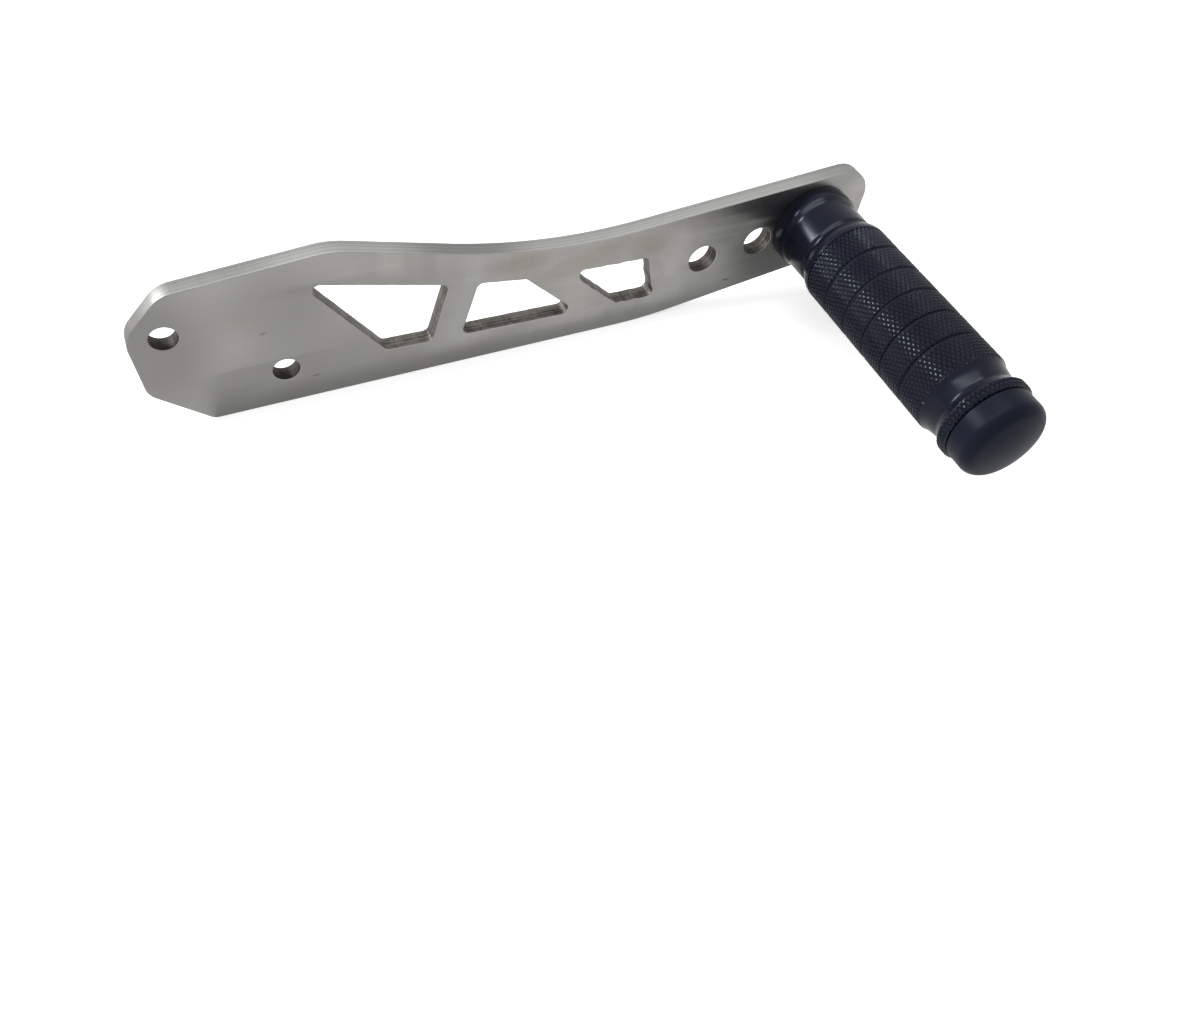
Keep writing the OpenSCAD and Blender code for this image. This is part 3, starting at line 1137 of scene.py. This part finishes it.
    def make(self) -> bpy.types.Object:
        """Builds the peg from the screw's hole, along its outside, to the stem's hole.

        Returns:
            The piece.
        """
        lathe = self.lathe()
        crest = lathe.bm.verts.layers.float.new(Layer.CREST.value)
        lathe.ring(self.bore_r, self.bore_len)
        lathe.close(self.bore_len)
        lathe.ring(self.bore_r, 0.0)
        for radius, away in self.root():
            lathe.ring(radius, away)
        outer_end = self.length - self.collar_len
        knurl_end = outer_end - self.waist_len
        self.grip(lathe, knurl_end, crest)
        for radius, away in self.waist(knurl_end, outer_end):
            lathe.ring(radius, away)
        self.knurl.band(lathe, outer_end + self.edge, self.length - self.edge, crest)
        lathe.ring(self.knurl.radius - self.knurl.depth - self.edge, self.length)
        lathe.ring(self.socket_r, self.length)
        lathe.ring(self.socket_r, self.length - self.socket_len)
        lathe.close(self.length - self.socket_len)
        bmesh.ops.recalc_face_normals(lathe.bm, faces=lathe.bm.faces)
        return finish_piece(lathe.bm, "knurled_peg", Node.PEG, self.finish.material())


@dataclass
class Cap:
    """Turned end cap with a rounded front edge and a low crown. Sizes are in millimetres.

    Attributes:
        finish: its finish.
        radius: its outer radius.
        thickness: its thickness without the crown.
        edge_r: radius of the rounded front edge.
        crown: how far the front face rises in its middle.
        edge: size of the bevel next to the peg.
        edge_steps: points of the rounded front edge.
        crown_shares: where the crown's first and last rings lie, as shares of the way to its edge.
        crown_steps: points of the crown.
        stem_r: radius of the stem in the peg.
        stem_len: length of the stem.
    """

    finish: BlackAnodised
    radius: float = 15.0
    thickness: float = 10.6
    edge_r: float = 4.6
    crown: float = 1.6
    edge: float = 0.4
    edge_steps: int = 25
    crown_shares: Point2 = (0.96, 0.04)
    crown_steps: int = 24
    stem_r: float = 6.0
    stem_len: float = 16.0

    def profile(self) -> list[Point2]:
        """Works out the profile from the peg to the crown.

        Returns:
            The radius and the distance from the peg's end of each of its points.
        """
        flat = self.radius - self.edge_r
        core = (flat ** 2 + self.crown ** 2) / (2 * self.crown)
        tilt = math.asin(flat / core)
        dome = core + self.edge_r
        points = [(self.radius - self.edge, 0.0), (self.radius, self.edge)]
        round_start = self.thickness - self.edge_r
        top = self.thickness + self.crown
        points += [(flat + self.edge_r * math.cos(a), round_start + self.edge_r * math.sin(a))
                   for a in np.linspace(0, math.pi / 2 - tilt, self.edge_steps)]
        points += [(dome * math.sin(tilt * s), top - dome * (1 - math.cos(tilt * s)))
                   for s in np.linspace(*self.crown_shares, self.crown_steps)]
        return points

    def make(self, peg: Peg) -> bpy.types.Object:
        """Builds the cap on the peg's outer end.

        Args:
            peg: the peg that carries it.

        Returns:
            The piece.
        """
        lathe = peg.lathe()
        lathe.bm.verts.layers.float.new(Layer.CREST.value)
        lathe.ring(self.stem_r, peg.length - self.stem_len)
        lathe.close(peg.length - self.stem_len)
        lathe.ring(self.stem_r, peg.length)
        for radius, away in self.profile():
            lathe.ring(radius, peg.length + away)
        lathe.close(peg.length + self.thickness + self.crown)
        bmesh.ops.recalc_face_normals(lathe.bm, faces=lathe.bm.faces)
        return finish_piece(lathe.bm, "turned_cap", Node.CAP, self.finish.material())


@dataclass
class Plate:
    """Laser-cut plate: the node's outlines, with every edge rounded over. Sizes are in millimetres.

    Attributes:
        finish: its finish.
        edge_r: radius of the rounded edges.
        edge_steps: steps of that round.
        side_step: length of the steps along a window's sides.
        wave: how far a window's cut strays.
        rough_wave: how far the rougher cut of the last window strays.
        rough_from: X from which the rougher cut is found.
        drift_share: share of the slow waves in a cut.
        drift_scale: how close they are along X, Y and Z, for each metre.
        ripple_share: share of the quick waves.
        ripple_scale: how close these are.
        round_from: roundness from which an opening is a hole.
        small_hole: width up to which a hole is a small one.
        window_burn: how burnt a window's walls are.
        small_burn: the layer's value on a small hole's wall, which darkens it the most.
        large_burn: the layer's value on a larger hole's wall, which darkens it less.
        large_burn: how burnt a larger hole's wall is.
        sharp_deg: angle from which an edge is sharp, in degrees.
    """

    finish: BrushedPlate
    edge_r: float = 0.35
    edge_steps: int = 4
    side_step: float = 0.7
    wave: float = 0.10
    rough_wave: float = 0.45
    rough_from: float = 130.0
    drift_share: float = 0.9
    drift_scale: tuple[float, float, float] = (300.0, 150.0, 300.0)
    ripple_share: float = 0.1
    ripple_scale: tuple[float, float, float] = (900.0, 260.0, 900.0)
    round_from: float = 0.97
    small_hole: float = 9.5
    window_burn: float = 0.5
    small_burn: float = 1.0
    large_burn: float = 0.75
    sharp_deg: float = 40.0

    def outlines(self, node: bpy.types.Object) -> list[np.ndarray]:
        """Finds the closed outlines of the node's front face.

        Args:
            node: the plate's node.

        Returns:
            The outlines, as X and Z in metres, the longest first.
        """
        mesh = node.data
        front = min(v.co.y for v in mesh.vertices)
        sides: dict[tuple[Point2, Point2], None] = {}

        def key(index: int) -> Point2:
            """Returns a point's X and Z, rounded so that equal places match."""
            place = mesh.vertices[index].co
            return round(place.x, PLACE_DIGITS), round(place.z, PLACE_DIGITS)

        for face in mesh.polygons:
            if all(abs(mesh.vertices[i].co.y - front) < FRONT_NEAR for i in face.vertices):
                corners = [key(i) for i in face.vertices]
                for a, b in zip(corners, corners[1:] + corners[:1]):
                    if (b, a) in sides:
                        sides.pop((b, a))
                    else:
                        sides[(a, b)] = None
        follow = dict(sides.keys())
        loops = []
        while follow:
            start = next(iter(follow))
            loop = [start]
            while follow[loop[-1]] != start:
                loop.append(follow.pop(loop[-1]))
            follow.pop(loop[-1])
            loops.append(np.array(loop))
        return sorted(loops, key=lambda c: -np.abs(np.diff(c, axis=0)).sum())

    def inward(self, loop: np.ndarray) -> np.ndarray:
        """Works out how each corner of an outline moves when its sides move into the metal by 1.

        Args:
            loop: the outline, with the metal on its left.

        Returns:
            The step of each corner.
        """
        ahead = np.roll(loop, -1, axis=0) - loop
        ahead /= np.linalg.norm(ahead, axis=1)[:, None]
        normal = np.stack([-ahead[:, 1], ahead[:, 0]], axis=1)
        total = normal + np.roll(normal, 1, axis=0)
        return total / (0.5 * (total ** 2).sum(axis=1))[:, None]

    def divided(self, loop: np.ndarray) -> np.ndarray:
        """Cuts the straight sides of an outline into short steps.

        Args:
            loop: the outline.

        Returns:
            The outline with more points.
        """
        points = []
        for start, end in zip(loop, np.roll(loop, -1, axis=0)):
            count = max(1, round(float(np.linalg.norm(end - start)) / (self.side_step * MM)))
            points += [start + (end - start) * k / count for k in range(count)]
        return np.array(points)

    def cut_wave(self, place: tuple[float, float, float]) -> float:
        """Works out how far the burnt cut of a window strays into the metal.

        Args:
            place: the place on its wall, in metres.

        Returns:
            The distance, in metres.
        """
        height = self.rough_wave if place[0] > self.rough_from * MM else self.wave
        drift, ripple = (noise.noise(Vector([p * s for p, s in zip(place, scale)]))
                         for scale in (self.drift_scale, self.ripple_scale))
        return height * MM * (self.drift_share * drift + self.ripple_share * ripple)

    def roundness(self, loop: np.ndarray) -> float:
        """Works out how round an outline is.

        Args:
            loop: the outline.

        Returns:
            Its roundness, 1 for a circle.
        """
        ahead = np.roll(loop, -1, axis=0)
        area = abs((loop[:, 0] * ahead[:, 1] - loop[:, 1] * ahead[:, 0]).sum()) / 2
        return 4 * math.pi * area / np.linalg.norm(ahead - loop, axis=1).sum() ** 2

    def burn(self, loop: np.ndarray) -> float:
        """Works out the inner layer's value on the wall of an opening.

        Args:
            loop: the opening's outline.

        Returns:
            The value for its layer: a window least, a small hole most.
        """
        if self.roundness(loop) < self.round_from:
            return self.window_burn
        small = float(np.ptp(loop[:, 0])) < self.small_hole * MM
        return self.small_burn if small else self.large_burn

    def rows(self, front: float, back: float) -> list[tuple[float, float, float]]:
        """Works out the rows of points from the front face round both edges to the back.

        Args:
            front: Y of the front face, in metres.
            back: Y of the back face.

        Returns:
            How far each row lies inside the outline, its Y, and its value for the rim's layer.
        """
        radius = self.edge_r * MM
        turns = np.linspace(0, math.pi / 2, self.edge_steps + 1)
        rows = [(radius * (1 - math.sin(a)), front + radius * (1 - math.cos(a)), math.sin(2 * a))
                for a in turns]
        return rows + [(inset, front + back - y, mark) for inset, y, mark in reversed(rows)]

    def wall(self, bm: bmesh.types.BMesh, loop: np.ndarray, rows: Sequence[tuple[float, float, float]],
             burnt: float) -> list[list[bmesh.types.BMVert]]:
        """Builds the wall along an outline, with its rounded edges.

        Args:
            bm: the mesh.
            loop: the outline.
            rows: how far each row of points lies inside it, its Y and its value for the rim.
            burnt: how burnt the wall is, 0 round the plate.

        Returns:
            The rows' points, from the front to the back.
        """
        rim = bm.verts.layers.float[Layer.RIM.value]
        inner = bm.verts.layers.float[Layer.INNER.value]
        is_window = burnt == self.window_burn
        if is_window:
            loop = self.divided(loop)
        steps = self.inward(loop)
        rings = []
        for inset, y, mark in rows:
            ring = []
            for (x, z), (dx, dz) in zip(loop, steps):
                if is_window:
                    stray = self.cut_wave((x, y, z))
                    x, z = x + dx * stray, z + dz * stray
                vert = bm.verts.new((x + dx * inset, y, z + dz * inset))
                vert[rim] = mark
                vert[inner] = burnt
                ring.append(vert)
            rings.append(ring)
        count = len(loop)
        for first, second in zip(rings, rings[1:]):
            for k in range(count):
                n = (k + 1) % count
                bm.faces.new((first[k], first[n], second[n], second[k])).smooth = True
        return rings

    def make(self, node: bpy.types.Object) -> bpy.types.Object:
        """Builds the plate from the node's own outlines.

        Args:
            node: the plate's node.

        Returns:
            The piece.
        """
        bm = bmesh.new()
        bm.verts.layers.float.new(Layer.RIM.value)
        bm.verts.layers.float.new(Layer.INNER.value)
        low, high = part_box(Node.PLATE.value)
        rows = self.rows(low.y, high.y)
        outer, *openings = self.outlines(node)
        walls = [self.wall(bm, outer, rows, 0.0)]
        walls += [self.wall(bm, loop, rows, self.burn(loop)) for loop in openings]
        for side in (0, -1):
            rings = [wall[side] for wall in walls]
            flat = [vert for ring in rings for vert in ring]
            outlines = [[Vector((v.co.x, v.co.z, 0.0)) for v in ring] for ring in rings]
            for corners in tessellate_polygon(outlines):
                bm.faces.new([flat[i] for i in corners]).smooth = False
        bmesh.ops.recalc_face_normals(bm, faces=bm.faces)
        material = self.finish.material()
        return finish_piece(bm, "cut_plate", Node.PLATE, material, self.sharp_deg)


@dataclass
class Fastening:
    """Screw and washer at the plate's back, dressed where the frame has them.

    Attributes:
        screw: the screw's finish.
        washer: the washer's finish.
        edge_mm: size of the rounding on their edges, in millimetres.
        edge_steps: steps of that rounding.
        edge_deg: angle from which an edge is rounded, in degrees.
    """

    screw: PlainSteel
    washer: PlainSteel
    edge_mm: float = 0.2
    edge_steps: int = 2
    edge_deg: float = 35.0

    def dress(self, nodes: dict[str, bpy.types.Object]) -> None:
        """Gives both nodes their finish and a small rounding on their edges.

        Args:
            nodes: the frame's nodes by name.
        """
        for node, finish in ((Node.SCREW, self.screw), (Node.WASHER, self.washer)):
            piece = nodes[node.value]
            material = finish.material()
            for slot in piece.material_slots:
                slot.material = material
            rounding = piece.modifiers.new("edge", "BEVEL")
            rounding.width = self.edge_mm * MM
            rounding.segments = self.edge_steps
            rounding.angle_limit = math.radians(self.edge_deg)
            LOG.info("%s: dressed", node.value)


# stage


@dataclass(frozen=True)
class Lamp:
    """Soft rectangular lamp aimed at the object.

    Attributes:
        name: name of the lamp.
        turn: its direction from the object, in degrees from +X towards +Y.
        rise: its height above the horizon, in degrees.
        away: its distance, in metres.
        size: its width and height, in metres.
        level: its brightness, where 1 is white.
        aim: the place that it faces, in metres.
        roll: how far it is turned about its own axis, in degrees.
    """

    name: str
    turn: float
    rise: float
    away: float
    size: tuple[float, float]
    level: float
    aim: tuple[float, float, float] = (0.15, -0.04, -0.01)
    roll: float = 0.0

    def make(self) -> bpy.types.Object:
        """Places the lamp.

        Returns:
            The lamp.
        """
        light = bpy.data.lights.new(self.name, "AREA")
        light.shape = "RECTANGLE"
        light.size, light.size_y = self.size
        light.energy = self.level * math.pi * self.size[0] * self.size[1]
        lamp = bpy.data.objects.new(self.name, light)
        turn, rise = math.radians(self.turn), math.radians(self.rise)
        level = math.cos(rise)
        side = Vector((math.cos(turn) * level, math.sin(turn) * level, math.sin(rise)))
        place = Vector(self.aim) + side * self.away
        facing = side.to_track_quat("Z", "Y").to_matrix().to_4x4()
        rolled = Matrix.Rotation(math.radians(self.roll), 4, "Z")
        lamp.matrix_world = Matrix.Translation(place) @ facing @ rolled
        bpy.context.scene.collection.objects.link(lamp)
        return lamp


@dataclass(frozen=True)
class Camera:
    """Camera of the photograph, in the frame's own axes.

    Attributes:
        place: where it stands, in metres.
        forward: the direction that it looks in.
        right: the direction to the right of its picture.
        lens: its focal length, in millimetres.
        sensor: width of its sensor, in millimetres.
        shift: shift of its picture, as shares of the picture's width.
        near: distance from which it shows anything, in metres.
    """

    place: tuple[float, float, float] = (0.00965, -0.25712, 0.21472)
    forward: tuple[float, float, float] = (0.3125, 0.5663, -0.7626)
    right: tuple[float, float, float] = (0.9138, -0.3984, 0.0786)
    lens: float = 31.101
    sensor: float = 36.0
    shift: Point2 = (0.00515, -0.0215)
    near: float = 0.01

    def make(self) -> bpy.types.Object:
        """Places the scene's camera.

        Returns:
            The camera.
        """
        data = bpy.data.cameras.new("camera")
        data.sensor_width = self.sensor
        data.sensor_fit = "HORIZONTAL"
        data.lens = self.lens
        data.shift_x, data.shift_y = self.shift
        data.clip_start = self.near
        camera = bpy.data.objects.new("camera", data)
        back = -Vector(self.forward).normalized()
        right = Vector(self.right)
        right = (right - back * right.dot(back)).normalized()
        up = back.cross(right)
        turn = Matrix((right, up, back)).transposed().to_4x4()
        camera.matrix_world = Matrix.Translation(self.place) @ turn
        bpy.context.scene.collection.objects.link(camera)
        bpy.context.scene.camera = camera
        return camera


@dataclass(frozen=True)
class Studio:
    """White floor and world with soft lamps.

    Attributes:
        room: strength of the world's light on the object.
        floor_glow: how much the floor is lifted to white where the camera sees it.
        floor_mirrored: how much it is lifted where a surface mirrors it.
        floor_colour: colour of the floor.
        floor_reach: half the floor's width, in metres.
        white: colour of the light.
        lamps: the lamps.
    """

    room: float = 0.66
    floor_glow: float = 0.6
    floor_mirrored: float = 0.20
    floor_colour: Colour = (0.8, 0.8, 0.8)
    floor_reach: float = 4.0
    white: Colour = (1.0, 1.0, 1.0)
    lamps: tuple[Lamp, ...] = (
        Lamp("top_bar", turn=100.0, rise=80.0, away=1.1, size=(1.4, 0.13), level=10.0,
             aim=(-0.08, -0.04, -0.01)),
        Lamp("left_strip", turn=144.7, rise=27.9, away=0.9, size=(0.16, 0.40), level=33.0, roll=-20.0),
    )

    def world(self) -> None:
        """Sets the world: white where it shows, a plain soft light otherwise."""
        world = bpy.data.worlds.new("white_room")
        world.use_nodes = True
        wiring = Wiring(world.node_tree)
        path = wiring.add("ShaderNodeLightPath").outputs
        seen = wiring.calc("MAXIMUM", path["Is Camera Ray"], path["Is Glossy Ray"])
        seen = wiring.calc("MAXIMUM", seen, path["Is Transmission Ray"])
        strength = wiring.span(seen, 0.0, 1.0, self.room, 1.0, "LINEAR")
        light = wiring.add("ShaderNodeBackground", {"Color": self.white, "Strength": strength})
        wiring.add("ShaderNodeOutputWorld", {"Surface": light.outputs[0]})
        bpy.context.scene.world = world

    def floor(self, level: float) -> None:
        """Adds the floor: white where it shows, and it keeps the shadow.

        Args:
            level: its height, in metres.
        """
        mesh = bpy.data.meshes.new("floor")
        reach = self.floor_reach
        sides = ((-1, -1), (1, -1), (1, 1), (-1, 1))
        mesh.from_pydata([(reach * x, reach * y, level) for x, y in sides], [], [(0, 1, 2, 3)])
        material = bpy.data.materials.new("white_floor")
        material.use_nodes = True
        wiring = Wiring(material.node_tree)
        path = wiring.add("ShaderNodeLightPath").outputs
        mirrored = wiring.calc("MAXIMUM", path["Is Glossy Ray"], path["Is Transmission Ray"])
        strength = wiring.calc("MULTIPLY", path["Is Camera Ray"], self.floor_glow)
        strength = wiring.calc("MULTIPLY_ADD", mirrored, self.floor_mirrored, strength)
        matt = wiring.add("ShaderNodeBsdfDiffuse", {"Color": self.floor_colour})
        glow = wiring.add("ShaderNodeEmission", {"Color": self.white, "Strength": strength})
        both = wiring.add("ShaderNodeAddShader", {0: matt.outputs[0], 1: glow.outputs[0]})
        wiring.add("ShaderNodeOutputMaterial", {"Surface": both.outputs[0]})
        mesh.materials.append(material)
        floor = bpy.data.objects.new("floor", mesh)
        bpy.context.scene.collection.objects.link(floor)
        floor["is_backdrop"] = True

    def make(self, level: float) -> None:
        """Builds the whole stage.

        Args:
            level: height of the floor, in metres.
        """
        bpy.context.scene.view_settings.view_transform = "Standard"
        self.world()
        self.floor(level)
        for lamp in self.lamps:
            lamp.make()


def main() -> None:
    """Builds the pieces round the frame."""
    logging.basicConfig(level=logging.INFO, format="%(name)s: %(message)s")
    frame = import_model()
    cad_low, cad_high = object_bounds()
    Camera().make()
    Studio().make(cad_low[2])
    peg = Peg(BlackAnodised("black_knurl"))
    Plate(BrushedPlate()).make(frame["nodes"][Node.PLATE.value])
    peg.make()
    satin = BlackAnodised("black_satin", dye=(0.0052, 0.0078, 0.0155), sheen=0.09, rough=0.34, wear=0.0)
    Cap(satin).make(peg)
    Fastening(PlainSteel("screw_finish"), PlainSteel("washer_finish")).dress(frame["nodes"])


if __name__ == "__main__":
    main()
